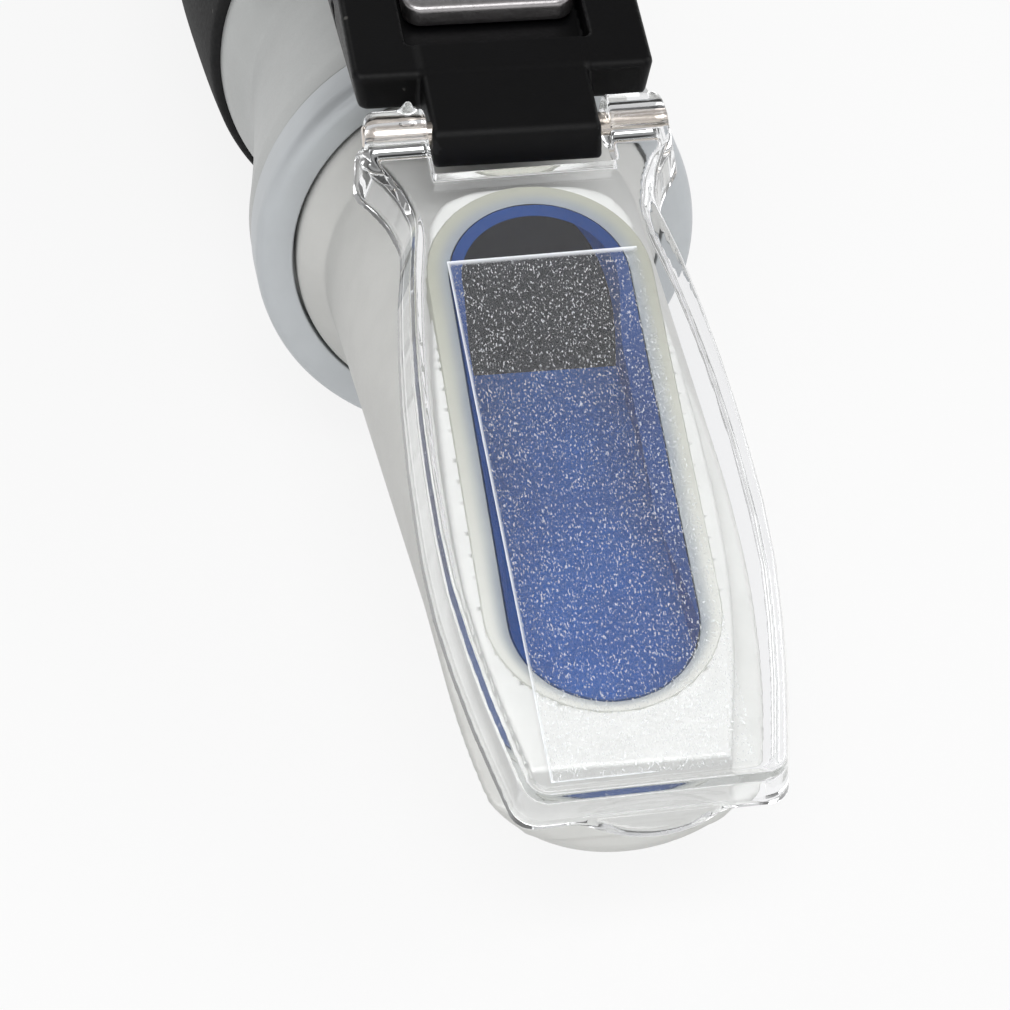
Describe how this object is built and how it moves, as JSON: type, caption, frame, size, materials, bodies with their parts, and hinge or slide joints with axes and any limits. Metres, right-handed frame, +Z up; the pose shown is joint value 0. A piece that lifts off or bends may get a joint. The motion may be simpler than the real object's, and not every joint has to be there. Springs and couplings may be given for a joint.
{
  "type": "handheld brix refractometer",
  "caption": "Handheld refractometer: sloping prism under a hinged clear cover plate, collar with hinge block, waisted barrel, rubber grip and focusing eyepiece.",
  "frame": {"origin": "bottom centre of the whole part's box, under the middle of the barrel", "axes": "+Y along the optical axis from the prism to the eye, +Z up, out of the prism's face, +X across"},
  "size_m": [0.0342, 0.1669, 0.0397],
  "materials": {
    "clear_plastic": "clear and glossy, frosted on its underside pad",
    "prism_glass": "polished, with its hidden faces painted",
    "lens_glass": "polished",
    "seal_rubber": "smooth sealing compound",
    "head_metal": "light satin",
    "ring_metal": "turned satin",
    "tube_metal": "fine satin",
    "black_rubber": "matt",
    "black_plastic": "fine matt grain",
    "steel": "bright",
    "satin_steel": "satin",
    "brass": "machined",
    "black_metal": "matt black anodised"
  },
  "bodies": {
    "body": {"prism": "prism_glass", "prism_seal": "seal_rubber", "prism_head": "head_metal", "collar_ring": "ring_metal", "barrel": "tube_metal", "grip_sleeve": "black_rubber", "hinge_block": "black_plastic", "hinge_pin": "steel", "calibration_seal": "black_rubber", "block_screw_1": "steel", "block_screw_2": "steel", "block_screw_3": "steel", "block_screw_4": "steel", "light_baffle": "black_metal", "objective_frame": "black_metal", "bimetal_strip": "brass", "strip_screw": "steel", "reticle": "lens_glass", "reticle_ring": "black_metal", "eyepiece_tube": "black_metal", "eyepiece_o_ring": "black_rubber"},
    "cover": {"daylight_plate": "clear_plastic"},
    "cap": {"calibration_cap": "satin_steel"},
    "lens_carrier": {"objective_holder": "black_metal", "objective_lens": "lens_glass", "objective_retainer": "black_metal"},
    "adjuster": {"calibration_screw": "brass"},
    "eyepiece_cell": {"lens_cell": "black_metal", "field_lens": "lens_glass", "lens_spacer": "black_metal", "eye_lens": "lens_glass", "lens_retainer": "black_metal"},
    "focus_grip": {"focus_ring": "black_plastic", "eyecup": "black_rubber"}
  },
  "joints": [
    {"name": "cover_hinge", "type": "hinge", "parent": "body", "child": "cover", "pos_m": [0, -0.03492, 0.03378], "axis": [-1, 0, 0], "range_deg": [0, 140]},
    {"name": "cap_lift", "type": "slide", "parent": "body", "child": "cap", "axis": [0, 0, 1], "range_m": [0, 0.006]},
    {"name": "carrier_slide", "type": "slide", "parent": "body", "child": "lens_carrier", "axis": [0, 0, 1], "range_m": [-0.00045, 0.00045]},
    {"name": "screw_turn", "type": "hinge", "parent": "lens_carrier", "child": "adjuster", "pos_m": [0, -0.00879, 0.03215], "axis": [0, 0, 1], "range_deg": [-400, 400]},
    {"name": "focus_slide", "type": "slide", "parent": "body", "child": "eyepiece_cell", "axis": [0, 1, 0], "range_m": [-0.0015, 0.0015]},
    {"name": "focus_turn", "type": "hinge", "parent": "eyepiece_cell", "child": "focus_grip", "pos_m": [0, 0.07321, 0.01715], "axis": [0, 1, 0], "range_deg": [-135, 135]}
  ],
  "couplings": [
    {"joint": "screw_turn", "follows": "carrier_slide", "rad_per_m": 13963},
    {"joint": "focus_slide", "follows": "focus_turn", "m_per_rad": 0.000636}
  ]
}
